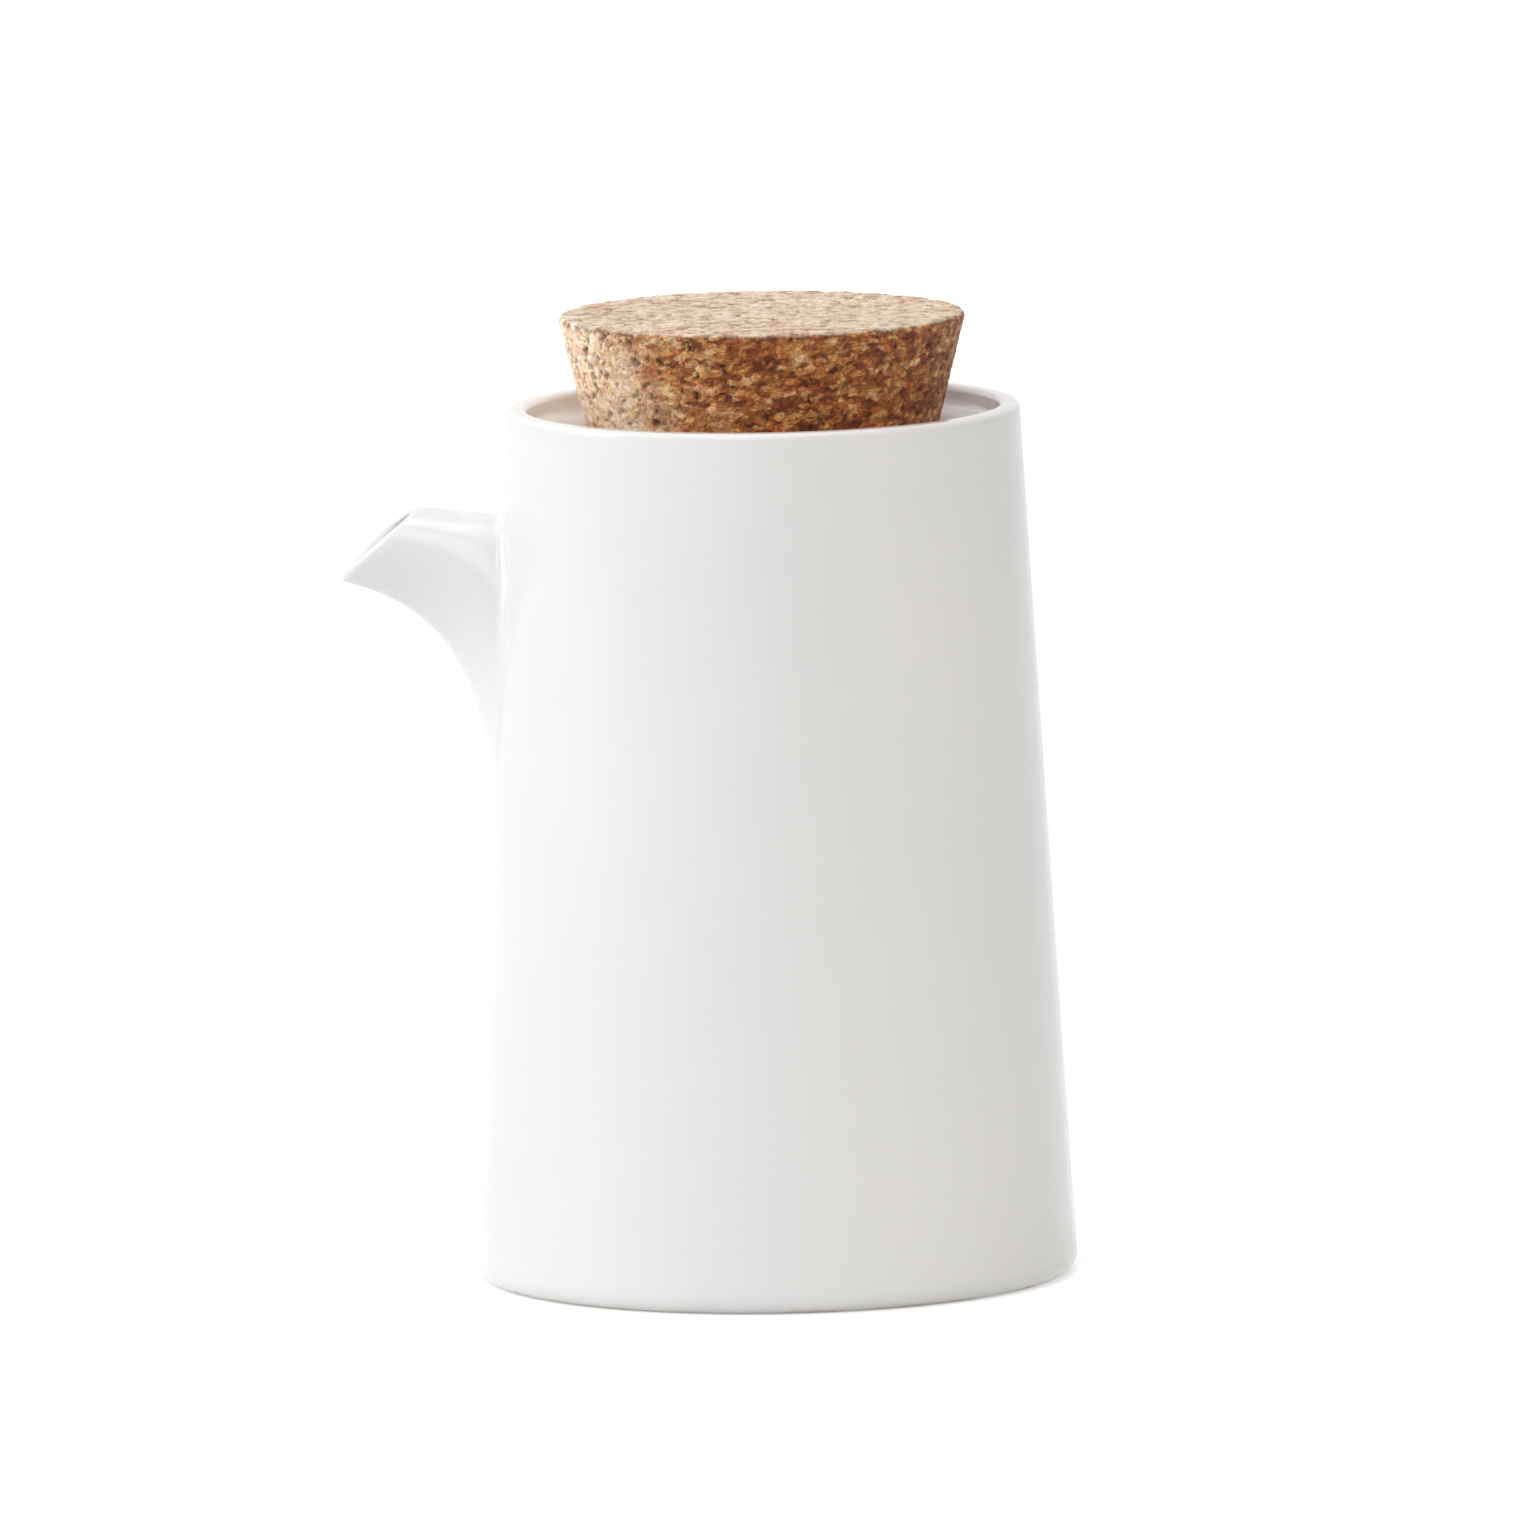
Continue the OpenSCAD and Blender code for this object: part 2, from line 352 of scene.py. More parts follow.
def jug_profile():
    """The jug's section as radius and height, and the points between which each wall is open"""
    foot_in = wall_r(0) - HEEL_ROUND - FOOT_W
    throat_z = DECK_Z - DECK_FALL
    section = outline([
        (0, FOOT_HOLLOW, 0),
        (foot_in, FOOT_HOLLOW, FOOT_ROUND),
        (foot_in, 0, FOOT_ROUND),
        (wall_r(0), 0, HEEL_ROUND),
        (wall_r(BODY_H), BODY_H, RIM_ROUND),
        (wall_r(BODY_H) - RIM_T, BODY_H, RIM_ROUND),
        (wall_r(DECK_Z) - RIM_T, DECK_Z, DECK_ROUND),
        (throat_r(throat_z), throat_z, THROAT_ROUND),
        (throat_r(UNDER_DECK_Z), UNDER_DECK_Z, THROAT_ROUND),
        (wall_r(UNDER_DECK_Z) - WALL_T, UNDER_DECK_Z, WALL_T),
        (wall_r(FLOOR_T) - WALL_T, CAVITY_FOOT_Z, FLOOR_ROUND),
        (0, CAVITY_FOOT_Z, 0),
    ], CORNER_STEPS)
    window_z = np.linspace(WINDOW_LOW, WINDOW_HIGH, WINDOW_ROWS + 1)
    profile, windows = [], []
    for a, b in zip(section, section[1:]):
        profile.append(a)
        rise = b[1] - a[1]
        if abs(rise) > WALL_RISE:
            rows = window_z if rise > 0 else window_z[::-1]
            before, after = heights_between(a[1], rows[0]), heights_between(rows[-1], b[1])
            first = len(profile) + len(before)
            windows.append((first, first + WINDOW_ROWS))
            profile += [a + (b - a) * (z - a[1]) / rise for z in np.concatenate([before, rows, after])]
        else:
            count = int(np.linalg.norm(b - a) / JUG_STEP) + 1
            profile += [a + (b - a) * i / count for i in range(1, count)]
    profile.append(section[-1])
    return np.array(profile), windows


def add_walls(shape, profile, windows):
    """Turns the section round the axis, with both walls open in the window"""
    angles = np.arange(JUG_TURNS) * FULL_TURN / JUG_TURNS
    grid = np.stack([shape.add(circle(r, z, angles)) for r, z in profile[1:-1]])
    poles = shape.add([(0, 0, profile[0][1]), (0, 0, profile[-1][1])])
    open_column = (np.arange(JUG_TURNS) + HALF_COLUMNS) % JUG_TURNS < 2 * HALF_COLUMNS
    open_rows = {j for first, last in windows for j in range(first - 1, last - 1)}
    for t in range(JUG_TURNS):
        n = (t + 1) % JUG_TURNS
        shape.faces.append((poles[0], grid[0][n], grid[0][t]))
        shape.faces.append((poles[1], grid[-1][t], grid[-1][n]))
        for j in range(len(grid) - 1):
            if not (open_column[t] and j in open_rows):
                shape.faces.append((grid[j][t], grid[j][n], grid[j + 1][n], grid[j + 1][t]))
    return grid


def window_loop(grid, top, bottom):
    """Numbers of the points round a window, from the middle of its top and towards +Y"""
    c = HALF_COLUMNS
    down = 1 if bottom > top else -1
    loop = [grid[top][t] for t in range(0, c)]
    loop += [grid[j][c] for j in range(top, bottom, down)]
    loop += [grid[bottom][t] for t in range(c, -c, -1)]
    loop += [grid[j][-c] for j in range(bottom, top, -down)]
    loop += [grid[top][t] for t in range(-c, 0)]
    return np.array(loop)


def line_angles(edge):
    """The angle of the spout's line that meets each point of the window's edge"""
    dense = np.radians(np.arange(360))
    foot = unroll(fillet_foot(dense))
    middle = (foot[:, 1].max() + foot[:, 1].min()) / 2
    half_across, half_up = np.ptp(foot, axis=0) / 2

    def bearing(flat):
        return np.arctan2(flat[:, 0] / half_across, (flat[:, 1] - middle) / half_up) % FULL_TURN

    known = np.unwrap(bearing(foot))
    known = np.concatenate([known - FULL_TURN, known, known + FULL_TURN])
    lines = np.concatenate([dense - FULL_TURN, dense, dense + FULL_TURN])
    phi = np.interp(bearing(unroll(edge)), known, lines)
    phi[0] = 0.0
    return phi


def add_spout(shape, outer_loop, inner_loop):
    """Fills the window with the spout, from the outer wall over the lip and back to the inner wall"""
    points = np.array(shape.points)
    edge, inner_edge = points[outer_loop], points[inner_loop]
    phi = line_angles(edge)
    foot = fillet_foot(phi)
    rings = [outer_loop]

    def add(ring):
        rings.append(shape.add(ring))

    # The wall round the fillet, then the fillet as a quadratic curve
    flat_edge, flat_foot = unroll(edge), unroll(foot)
    for k in range(1, PATCH_STEPS):
        add(roll(flat_edge + (flat_foot - flat_edge) * (k / PATCH_STEPS) ** PATCH_CROWDING))
    at_wall = leaves(outer_point, wall_r, phi)
    corner = outer_point(at_wall, phi)
    length = np.linalg.norm(outer_point(1.0, phi) - corner, axis=1)
    start = at_wall + ROOT_FILLET / length * (1 - at_wall)
    top = outer_point(start, phi)
    for k in range(FILLET_STEPS):
        t = k / FILLET_STEPS
        add((1 - t) ** 2 * foot + 2 * (1 - t) * t * corner + t * t * top)

    # The outside, the lip as two quarter rounds, and the passage
    for k in range(SPOUT_STEPS + 1):
        add(outer_point(start + (1 - LIP_SHARE - start) * k / SPOUT_STEPS, phi))
    for k in range(1, LIP_STEPS + 1):
        turn = QUARTER * k / LIP_STEPS
        add(outer_point(1 - LIP_SHARE * (1 - math.sin(turn)), phi, LIP_ROUND * (1 - math.cos(turn))))
    for k in range(LIP_STEPS, 0, -1):
        turn = QUARTER * k / LIP_STEPS
        add(inner_point(1 - LIP_SHARE * (1 - math.sin(turn)), phi, -LIP_ROUND * (1 - math.cos(turn))))
    end = leaves(inner_point, cavity_r, phi)
    for k in range(PASSAGE_STEPS + 1):
        add(inner_point(1 - LIP_SHARE + (end - 1 + LIP_SHARE) * k / PASSAGE_STEPS, phi))

    # The inner wall round the passage's end
    hole_ring = rings[-1]
    hole = np.array(shape.points)[hole_ring]
    hole_flat, edge_flat = (np.stack([np.arctan2(p[:, 1], p[:, 0]), p[:, 2]], -1) for p in (hole, inner_edge))
    for k in range(1, CAVITY_STEPS):
        angle, z = (hole_flat + (edge_flat - hole_flat) * k / CAVITY_STEPS).T
        add(np.stack([cavity_r(z) * np.cos(angle), cavity_r(z) * np.sin(angle), z], -1))
    rings.append(inner_loop)
    for near, far in zip(rings, rings[1:]):
        for i in range(len(phi)):
            n = (i + 1) % len(phi)
            shape.faces.append((near[i], far[i], far[n], near[n]))
    return hole_ring


def make_jug():
    """The jug as one closed mesh. It is made with the spout along +X and turned to -X at the end"""
    shape = Shape()
    profile, (outer, inner) = jug_profile()
    grid = add_walls(shape, profile, (outer, inner))
    outer_loop = window_loop(grid, outer[1] - 1, outer[0] - 1)
    inner_loop = window_loop(grid, inner[0] - 1, inner[1] - 1)
    hole_ring = add_spout(shape, outer_loop, inner_loop)
    shape.points = np.array(shape.points) * (-1, -1, 1)
    return shape.make("jug_porcelain", zip(hole_ring, np.roll(hole_ring, -1)))


def cork_profile():
    """Evenly spaced points of the cork's edge, from its bottom face to its top face"""
    low, high = (cork_r(CORK_BOTTOM_Z), CORK_BOTTOM_Z), (cork_r(CORK_TOP_Z), CORK_TOP_Z)
    path = rounded_corner((0, CORK_BOTTOM_Z), low, high, CORK_ROUND, CORK_CORNER_STEPS)
    path += rounded_corner(low, high, (0, CORK_TOP_Z), CORK_ROUND, CORK_CORNER_STEPS)
    path = np.array(path)
    steps = np.concatenate([[0], np.cumsum(np.linalg.norm(np.diff(path, axis=0), axis=1))])
    where = np.linspace(0, steps[-1], CORK_ROWS + 1)
    return np.stack([np.interp(where, steps, path[:, 0]), np.interp(where, steps, path[:, 1])], -1)


def disc_grid(radius, half):
    """A square grid of points laid over a disc"""
    line = np.linspace(-1, 1, 2 * half + 1)
    u, v = np.meshgrid(line, line, indexing="ij")
    wide = np.abs(u) > np.abs(v)
    big, small = np.where(wide, u, v), np.where(wide, v, u)
    angle = math.pi / 4 * small / np.where(big == 0, 1, big)
    x = big * np.where(wide, np.cos(angle), np.sin(angle))
    y = big * np.where(wide, np.sin(angle), np.cos(angle))
    return x * radius, y * radius


def add_end(shape, ring, radius, z, upwards):
    """A flat end of the cork, joined to the ring round it"""
    count = CORK_TURNS // 4
    x, y = disc_grid(radius, count // 2)
    numbers = np.zeros((count + 1, count + 1), int)
    inside = np.zeros((count + 1, count + 1), bool)
    inside[1:-1, 1:-1] = True
    numbers[inside] = shape.add(np.stack([x[inside], y[inside], np.full(inside.sum(), z)], -1))
    path = [(i, 0) for i in range(count)] + [(count, i) for i in range(count)]
    path += [(count - i, count) for i in range(count)] + [(0, count - i) for i in range(count)]
    for number, (i, j) in zip(ring, path):
        numbers[i, j] = number
    for i in range(count):
        for j in range(count):
            face = (numbers[i, j], numbers[i + 1, j], numbers[i + 1, j + 1], numbers[i, j + 1])
            shape.faces.append(face if upwards else face[::-1])


def field(points, scale, offset=(0, 0, 0)):
    """Smooth noise at each point"""
    return np.array([noise.noise(Vector(p) * scale + Vector(offset)) for p in points])


def granules(surface):
    """For each point its granule's tone and height, and how much nearer this granule is than the next"""
    low = (-SEED_REACH, -SEED_REACH, CORK_BOTTOM_Z - SEED_MARGIN)
    high = (SEED_REACH, SEED_REACH, CORK_TOP_Z + SEED_MARGIN)
    seeds = rng.uniform(low, high, (SEEDS, 3))
    from_axis = np.hypot(seeds[:, 0], seeds[:, 1])
    near_end = (seeds[:, 2] > CORK_TOP_Z - SEED_DEPTH) | (seeds[:, 2] < CORK_BOTTOM_Z + SEED_DEPTH)
    shell = (from_axis > cork_r(seeds[:, 2]) - SEED_DEPTH) | near_end
    seeds = seeds[shell & (from_axis < SEED_RADIUS)]
    tree = kdtree.KDTree(len(seeds))
    for i, p in enumerate(seeds * (1, 1, SQUASH)):
        tree.insert(p, i)
    tree.balance()
    tones, heights = rng.random(len(seeds)), rng.random(len(seeds))
    tone, height, gap = (np.zeros(len(surface)) for _ in range(3))
    for i, p in enumerate(map(Vector, surface)):
        q = p + (noise.noise_vector(p * 0.55) * 0.5 + noise.noise_vector(p * 1.7) * 0.18)
        (_, first, near), (_, _, next_near) = tree.find_n((q[0], q[1], q[2] * SQUASH), 2)
        tone[i], height[i], gap[i] = tones[first], heights[first], next_near - near
    return tone, height, gap


def make_cork():
    """The cork: granules of irregular size pressed together, cut flat and sanded"""
    shape = Shape()
    profile = cork_profile()
    angles = np.arange(CORK_TURNS) * FULL_TURN / CORK_TURNS - 1.5 * QUARTER
    rows = np.stack([shape.add(circle(r, z, angles)) for r, z in profile])
    for low, high in zip(rows, rows[1:]):
        shape.band(low, high)
    add_end(shape, rows[-1], *profile[-1], True)
    add_end(shape, rows[0], *profile[0], False)
    surface = np.array(shape.points)

    # How deep each point lies: granules, the grooves between them, pits, and chips out of the upper edge
    tone, height, gap = granules(surface)
    pores, fine = field(surface, 0.9), field(surface, 3.1)
    groove = np.clip(1 - gap / 0.45, 0, 1)
    pits_and_shaded_chips = np.clip((pores - 0.25) / 0.25, 0, 1) * groove
    from_wall = np.hypot(surface[:, 0], surface[:, 1]) - cork_r(CORK_TOP_Z)
    from_edge = np.hypot(from_wall, surface[:, 2] - CORK_TOP_Z)
    chips = field(surface, 0.42, (31, 7, 5))
    chipped = np.clip((chips + 0.25 * fine - 0.16) / 0.14, 0, 1) * np.clip(1.5 - from_edge / 0.9, 0, 1)
    # The chips out of the upper edge join the pits, and the material paints them near black: painted shade in
    # the chips
    pits_and_shaded_chips = np.maximum(pits_and_shaded_chips, 0.85 * chipped)
    depth = 0.02 + 0.05 * height + 0.10 * groove ** 1.5 + 0.40 * pits_and_shaded_chips + 0.03 * (fine + 1) / 2

    # The way out of the cork at each point
    outward = np.zeros_like(surface)
    outward[:, 2] = np.where(surface[:, 2] > (CORK_TOP_Z + CORK_BOTTOM_Z) / 2, 1.0, -1.0)
    slope = np.gradient(profile, axis=0)
    for row, (out, up) in zip(rows, unit(np.stack([slope[:, 1], -slope[:, 0]], -1))):
        outward[row] = circle(out, up, angles)
    # 1 on the two ends, whose pale colour is partly sanded cork and partly painted glare, falling to 0 over
    # the rounding of their edges
    end = np.clip((np.abs(outward[:, 2]) - 0.45) / 0.45, 0, 1)

    shape.points = surface - outward * depth[:, None]
    cork = shape.make("cork_granules")
    for name, values in (("granule", tone), ("groove", groove), ("pits_and_shaded_chips", pits_and_shaded_chips), ("end", end)):
        attribute = cork.data.attributes.new(name, "FLOAT", "POINT")
        attribute.data.foreach_set("value", values.astype(np.float32))
    return cork


class Nodes:
    """A short way to write a node tree"""

    def __init__(self, tree):
        self.tree = tree
        tree.nodes.clear()

    def put(self, socket, value):
        """Sets an input, or links it where the value is an output"""
        if hasattr(value, "is_output"):
            self.tree.links.new(value, socket)
        else:
            socket.default_value = value

    def new(self, kind, settings=None, **inputs):
        """A node. Inputs are given by name, or by number as in _0"""
        node = self.tree.nodes.new("ShaderNode" + kind)
        for key, value in (settings or {}).items():
            setattr(node, key, value)
        for key, value in inputs.items():
            self.put(node.inputs[int(key[1:]) if key[0] == "_" else key.replace("_", " ")], value)
        return node

    def math(self, operation, a, b=0.0, clamp=False):
        return self.new("Math", {"operation": operation, "use_clamp": clamp}, _0=a, _1=b).outputs[0]

    def add(self, a, b, clamp=False):
        return self.math("ADD", a, b, clamp)

    def times(self, a, b):
        return self.math("MULTIPLY", a, b)

    def vector(self, operation, output, **inputs):
        return self.new("VectorMath", {"operation": operation}, **inputs).outputs[output]

    def part(self, vector, index):
        """One of the three numbers of a vector or a colour"""
        return self.new("SeparateXYZ", Vector=vector).outputs[index]

    def attribute(self, name):
        return self.new("Attribute", {"attribute_name": name}).outputs["Fac"]

    def noise(self, where, scale, detail=3.0, roughness=0.5):
        return self.new("TexNoise", Vector=where, Scale=scale, Detail=detail, Roughness=roughness).outputs[0]

    def span(self, value, low, high, to_low=0.0, to_high=1.0):
        """Maps low to to_low and high to to_high, and goes no further"""
        ends = {"From_Min": low, "From_Max": high, "To_Min": to_low, "To_Max": to_high}
        return self.new("MapRange", {"clamp": True}, Value=value, **ends).outputs[0]

    def mix(self, factor, a, b, blend="MIX"):
        node = self.tree.nodes.new("ShaderNodeMix")
        node.data_type, node.blend_type = "RGBA", blend
        self.put(node.inputs[0], factor)
        for socket, colour in ((node.inputs[6], a), (node.inputs[7], b)):
            self.put(socket, colour if hasattr(colour, "is_output") else (*colour, 1.0))
        return node.outputs[2]

    def ramp(self, value, stops):
        node = self.new("ValToRGB", Fac=value)
        elements = node.color_ramp.elements
        while len(elements) < len(stops):
            elements.new(0.5)
        for element, (position, colour) in zip(elements, stops):
            element.position, element.color = position, (*colour, 1.0)
        return node.outputs[0]

    def bump(self, strength, distance, height, **normal):
        return self.new("Bump", Strength=strength, Distance=distance, Height=height, **normal).outputs[0]


def new_material(name):
    """A material and the nodes to write it with"""
    material = bpy.data.materials.new(name)
    material.use_nodes = True
    return material, Nodes(material.node_tree)


def finish_material(n, material, shader):
    n.tree.links.new(shader.outputs[0], n.new("OutputMaterial").inputs["Surface"])
    return material


def porcelain():
    """White porcelain under a clear glaze, bare where it stands"""
    material, n = new_material("glazed_porcelain")
    where = n.new("TexCoord").outputs["Object"]
    height = n.part(where, 2)

    # Faint clouds in the white and a few rare iron specks
    cloud = n.span(n.noise(where, 28.0, 4.0, 0.55), 0.35, 0.65)
    colour = n.mix(cloud, (0.845, 0.848, 0.846), (0.872, 0.870, 0.864))
    speck = n.new("TexVoronoi", {"feature": "F1"}, Vector=where, Scale=260.0).outputs[0]
    rare = n.span(n.noise(where, 90.0, 2.0), 0.66, 0.70)
    mark = n.times(n.span(speck, 0.10, 0.05), rare)
    colour = n.mix(n.times(mark, 0.35), colour, (0.42, 0.36, 0.28))

    # The bare foot, whose edge wanders a little
    wander = n.span(n.noise(where, 140.0, 3.0), 0.3, 0.7, -0.00035, 0.00035)
    foot = n.span(n.add(height, wander), 0.00045, 0.00030)
    colour = n.mix(foot, colour, (0.80, 0.77, 0.71))

    # Gloss, with light scuffs just above the foot
    rough = n.span(n.noise(where, 55.0, 5.0, 0.6), 0.3, 0.7, 0.10, 0.17)
    scuff = n.span(n.noise(where, 900.0, 2.0), 0.60, 0.75)
    low = n.span(height, 0.004, 0.001)
    rough = n.add(rough, n.times(n.times(scuff, low), 0.25))
    rough = n.add(rough, n.times(foot, 0.5), clamp=True)

    # Slow waves and fine dimples in the glaze, and the grain of the bare foot
    relief = n.bump(0.10, 0.0006, n.noise(where, 32.0, 2.0, 0.5))
    relief = n.bump(0.06, 0.0001, n.noise(where, 420.0, 2.0, 0.5), Normal=relief)
    relief = n.bump(0.35, 0.0001, n.times(n.noise(where, 5200.0, 2.0), foot), Normal=relief)
    shader = n.new("BsdfPrincipled", Base_Color=colour, Roughness=rough, IOR=1.5, Normal=relief)
    return finish_material(n, material, shader)


def painted_glare_facing(n, where, flat):
    """How far the cork's side faces the spout, where painted glare of the left-hand light lies in its colour.
    It reaches further near the bottom
    """
    level = n.vector("MULTIPLY", 0, _0=where, _1=(1.0, 1.0, 0.0))
    outward = n.vector("NORMALIZE", 0, _0=level)
    facing = n.vector("DOT_PRODUCT", "Value", _0=outward, _1=(-0.985, -0.174, 0.0))
    facing = n.add(facing, n.span(n.part(where, 2), 0.100, 0.125, 0.25, -0.08))
    return n.add(facing, n.span(n.noise(flat, 180.0, 3.0, 0.6), 0.3, 0.7, -0.07, 0.07))


def granulated_cork():
    """Pressed cork granules: raw and darker on the side, with painted glare on the side towards the spout,
    and pale on the ends, partly sanded cork and partly painted glare
    """
    material, n = new_material("granulated_cork")
    where = n.new("TexCoord").outputs["Object"]
    granule, groove, pits_and_shaded_chips, end = map(n.attribute, ("granule", "groove", "pits_and_shaded_chips", "end"))

    # Chips of cork lie flat, so every pattern is drawn out sideways
    flat = n.vector("MULTIPLY", 0, _0=where, _1=(1.0, 1.0, 1.9))
    bend = n.new("TexNoise", Vector=flat, Scale=700.0, Detail=2.0).outputs["Color"]
    bent = n.vector("MULTIPLY_ADD", 0, _0=bend, _1=(0.0011, 0.0011, 0.0011), _2=flat)
    chip = n.new("TexVoronoi", {"feature": "F1"}, Vector=bent, Scale=720.0).outputs["Color"]
    border = n.new("TexVoronoi", {"feature": "DISTANCE_TO_EDGE"}, Vector=bent, Scale=720.0).outputs[0]
    crumb = n.new("TexVoronoi", {"feature": "F1"}, Vector=bent, Scale=1900.0)
    crumb_tone = n.part(crumb.outputs["Color"], 1)
    speckle = n.noise(flat, 2600.0, 3.0, 0.6)
    blotch = n.noise(flat, 260.0, 3.0, 0.6)

    # From dark to pale
    value = n.add(n.times(granule, 0.24), n.times(n.part(chip, 0), 0.42))
    value = n.add(value, n.times(crumb_tone, 0.20))
    value = n.add(value, n.span(blotch, 0.3, 0.7, 0.0, 0.14))
    value = n.add(value, n.span(speckle, 0.25, 0.75, -0.14, 0.14), clamp=True)
    raw = n.ramp(value, [(0.24, (0.12, 0.024, 0.003)), (0.40, (0.32, 0.082, 0.013)),
                         (0.54, (0.50, 0.170, 0.038)), (0.67, (0.74, 0.345, 0.105)),
                         (0.84, (0.93, 0.64, 0.36))])
    # Painted glare: a lighter, warmer brown at the edge of the glare on the side
    painted_glare_edge = n.ramp(value, [(0.24, (0.22, 0.055, 0.012)), (0.40, (0.55, 0.185, 0.048)),
                          (0.54, (0.76, 0.35, 0.120)), (0.67, (0.90, 0.55, 0.25)),
                          (0.84, (0.96, 0.76, 0.52))])
    # Painted glare: near cream where the side faces the left-hand light
    painted_glare_colour = n.ramp(value, [(0.20, (0.48, 0.24, 0.11)), (0.36, (0.77, 0.53, 0.34)),
                              (0.54, (0.89, 0.69, 0.50)), (0.68, (0.93, 0.77, 0.60)),
                              (0.86, (0.96, 0.86, 0.73))])
    # The pale ends: partly sanded cork, partly painted glare of light grazing the top
    sanded_and_glare = n.ramp(value, [(0.18, (0.36, 0.20, 0.10)), (0.36, (0.69, 0.475, 0.31)),
                            (0.60, (0.95, 0.755, 0.575)), (0.86, (0.98, 0.88, 0.75))])
    # The side is painted lighter towards the spout: painted glare, warmer at its edge and near cream within
    # it
    facing = painted_glare_facing(n, where, flat)
    painted_glare = n.span(facing, 0.62, 0.86, 0.0, 0.95)
    side = n.mix(n.span(facing, 0.34, 0.62), raw, painted_glare_edge)
    side = n.mix(painted_glare, side, painted_glare_colour)

    # Some chips lean towards ochre and some towards pink
    tint = n.ramp(n.part(chip, 1), [(0.12, (1.0, 0.99, 0.68)), (0.42, (1.0, 1.0, 1.0)),
                                    (0.62, (1.0, 1.0, 1.0)), (0.90, (1.0, 0.80, 0.76))])
    side = n.mix(0.75, side, tint, "MULTIPLY")
    colour = n.mix(end, side, sanded_and_glare)

    # Dark seams between the granules and holes in them, weaker on the sanded ends and where the painted glare
    # washes them out
    glare_and_sanding = n.math("MAXIMUM", end, n.times(painted_glare, 0.7))
    seam = n.times(n.span(border, 0.10, 0.0), n.span(blotch, 0.35, 0.6, 0.2, 0.9))
    seam = n.math("MAXIMUM", seam, n.times(groove, n.span(crumb_tone, 0.3, 0.7, 0.3, 1.0)))
    seam = n.times(seam, n.span(glare_and_sanding, 0.0, 1.0, 0.75, 0.30))
    colour = n.mix(seam, colour, (0.10, 0.030, 0.008))
    rare = n.span(n.noise(flat, 900.0, 2.0, 0.5), 0.60, 0.66)
    hole = n.times(n.span(crumb.outputs["Distance"], 0.42, 0.22), rare)
    # Pits and chips painted near black; in the chips this is painted shade
    hole = n.math("MAXIMUM", hole, pits_and_shaded_chips)
    dark = n.times(hole, n.span(glare_and_sanding, 0.0, 1.0, 0.95, 0.55))
    colour = n.mix(dark, colour, (0.040, 0.013, 0.005))

    rough = n.span(speckle, 0.3, 0.7, 0.50, 0.68)
    relief = n.math("SUBTRACT", n.times(crumb_tone, 0.5), n.times(hole, 1.5))
    relief = n.add(relief, n.times(speckle, 0.6))
    relief = n.bump(0.6, 0.0004, relief)
    shader = n.new("BsdfPrincipled", Base_Color=colour, Roughness=rough, IOR=1.40, Normal=relief,
                   Sheen_Weight=0.25, Sheen_Roughness=0.3, Sheen_Tint=(1.0, 0.86, 0.70, 1.0))
    return finish_material(n, material, shader)


# The stage in metres
FLOOR_HALF = 4
FLOOR_DROP = 0.00005
FLOOR_GLOW = 0.50
AMBIENT = 0.34


def pale_floor():
    """A floor that keeps the shadow. What the camera sees of it fades to plain white further out"""
    material, n = new_material("pale_floor")
    path = n.new("LightPath")
    away = n.vector("LENGTH", "Value", _0=n.new("TexCoord").outputs["Object"])
    shown = n.times(path.outputs["Is Camera Ray"], n.span(away, 0.5, 1.2, FLOOR_GLOW, 1.0))
    mirrored = n.times(path.outputs["Is Glossy Ray"], FLOOR_GLOW)
    diffuse = n.new("BsdfDiffuse", Color=(0.78, 0.78, 0.78, 1.0))
    glow = n.new("Emission", Color=(1.0, 1.0, 1.0, 1.0), Strength=n.add(shown, mirrored))
    both = n.new("AddShader", _0=diffuse.outputs[0], _1=glow.outputs[0])
    return finish_material(n, material, both)


def make_floor():
    h = FLOOR_HALF
    mesh = bpy.data.meshes.new("floor")
    mesh.from_pydata([(-h, -h, 0), (h, -h, 0), (h, h, 0), (-h, h, 0)], [], [(0, 1, 2, 3)])
    mesh.materials.append(pale_floor())
    floor = bpy.data.objects.new("floor", mesh)
    floor.location.z = -FLOOR_DROP
    bpy.context.scene.collection.objects.link(floor)
    return floor


def make_world():
    """Plain light all round, and white to the eye. In reflections the right-hand side is dim"""
    world = bpy.data.worlds.new("studio")
    bpy.context.scene.world = world
    world.use_nodes = True
    n = Nodes(world.node_tree)
    path = n.new("LightPath")
    split = n.new("SeparateXYZ", Vector=n.new("TexCoord").outputs["Generated"])
    toward_right = n.math("SUBTRACT", n.times(split.outputs[0], 0.90), n.times(split.outputs[1], 0.45))
    mirrored = n.times(path.outputs["Is Glossy Ray"], n.span(toward_right, 0.20, 0.50, 1.0, 0.15))
    seen = n.add(path.outputs["Is Camera Ray"], mirrored, clamp=True)
    plain = n.new("Background", Color=(1.0, 0.985, 0.97, 1.0), Strength=AMBIENT)
    white = n.new("Background", Color=(1.0, 1.0, 1.0, 1.0), Strength=1.0)
    both = n.new("MixShader", _0=seen, _1=plain.outputs[0], _2=white.outputs[0])
    n.tree.links.new(both.outputs[0], n.new("OutputWorld").inputs["Surface"])


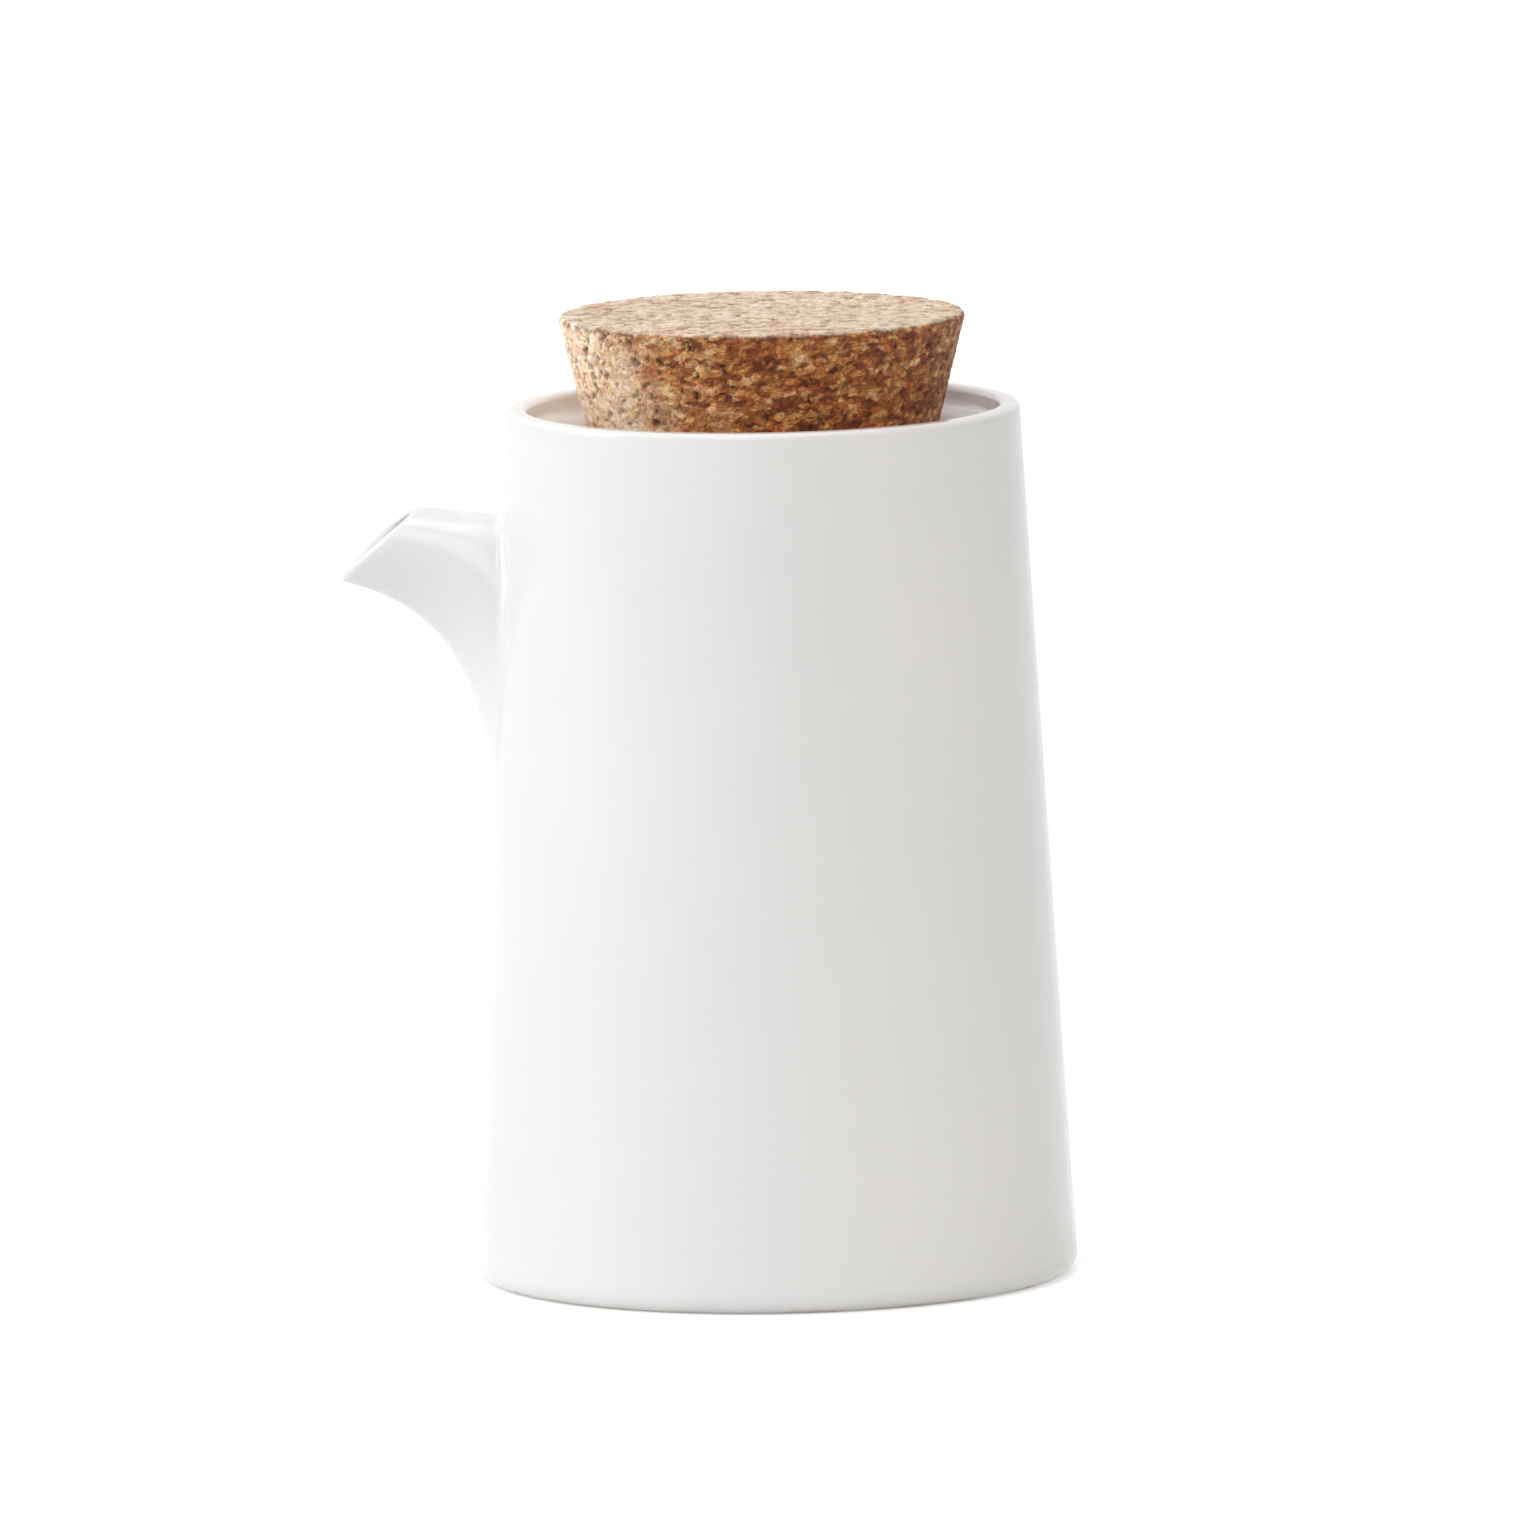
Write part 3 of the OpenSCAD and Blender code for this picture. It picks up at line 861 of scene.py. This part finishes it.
def direction(azimuth, elevation):
    """The way to a lamp. Azimuth 0 is in front of the jug and 90 on its right"""
    a, e = math.radians(azimuth), math.radians(elevation)
    return Vector((math.sin(a) * math.cos(e), -math.cos(a) * math.cos(e), math.sin(e)))


def hang(data, aim, way, distance):
    """Puts a light at a distance from the point that it aims at"""
    obj = bpy.data.objects.new(data.name, data)
    obj.location = Vector(aim) + way * distance
    obj.rotation_euler = way.to_track_quat("Z", "Y").to_euler()
    bpy.context.scene.collection.objects.link(obj)


def lamp(name, azimuth, elevation, distance, size, level, colour=(1, 1, 1)):
    """A square soft lamp; level is its share of full light"""
    data = bpy.data.lights.new(name, "AREA")
    data.shape, data.size = "SQUARE", size
    data.energy = level * math.pi ** 2 * distance ** 2
    data.color = colour
    hang(data, (0, 0, 0.06), direction(azimuth, elevation), distance)


def rim_spot(name, azimuth, distance, radius, level, colour):
    """A level beam as wide as radius at the jug, whose lower edge lies just below the rim"""
    data = bpy.data.lights.new(name, "SPOT")
    data.spot_size = 2 * math.atan(radius / distance)
    data.spot_blend = 0.006
    data.shadow_soft_size = 0.002
    data.energy = level * 4 * math.pi ** 2 * distance ** 2
    data.color = colour
    hang(data, (0, 0, BODY_H * 0.001 - 0.0002 + radius), direction(azimuth, 0), distance)


place_camera()

jug = make_jug()
jug.data.materials.append(porcelain())
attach(jug, "jug")
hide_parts("jug_body")

cork = make_cork()
cork.data.materials.append(granulated_cork())
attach(cork, "stopper")
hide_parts("cork_stopper")

floor = make_floor()
make_world()
lamp("left", -87, 20, 2.4, 1.4, 0.465, (0.935, 0.955, 1.0))
lamp("back_left", -138, 24, 2.6, 1.4, 0.06, (0.955, 0.97, 1.0))
lamp("front", -6, 30, 2.6, 1.8, 0.275, (1.0, 0.965, 0.935))
lamp("right", 55, 25, 2.6, 1.4, 0.075, (1.0, 0.89, 0.76))
lamp("top", 0, 88, 2.4, 1.8, 0.36)
rim_spot("cork_spot", -126, 2.6, 0.138, 0.7, (1.0, 0.99, 0.97))
bpy.context.scene.view_settings.view_transform = "Standard"
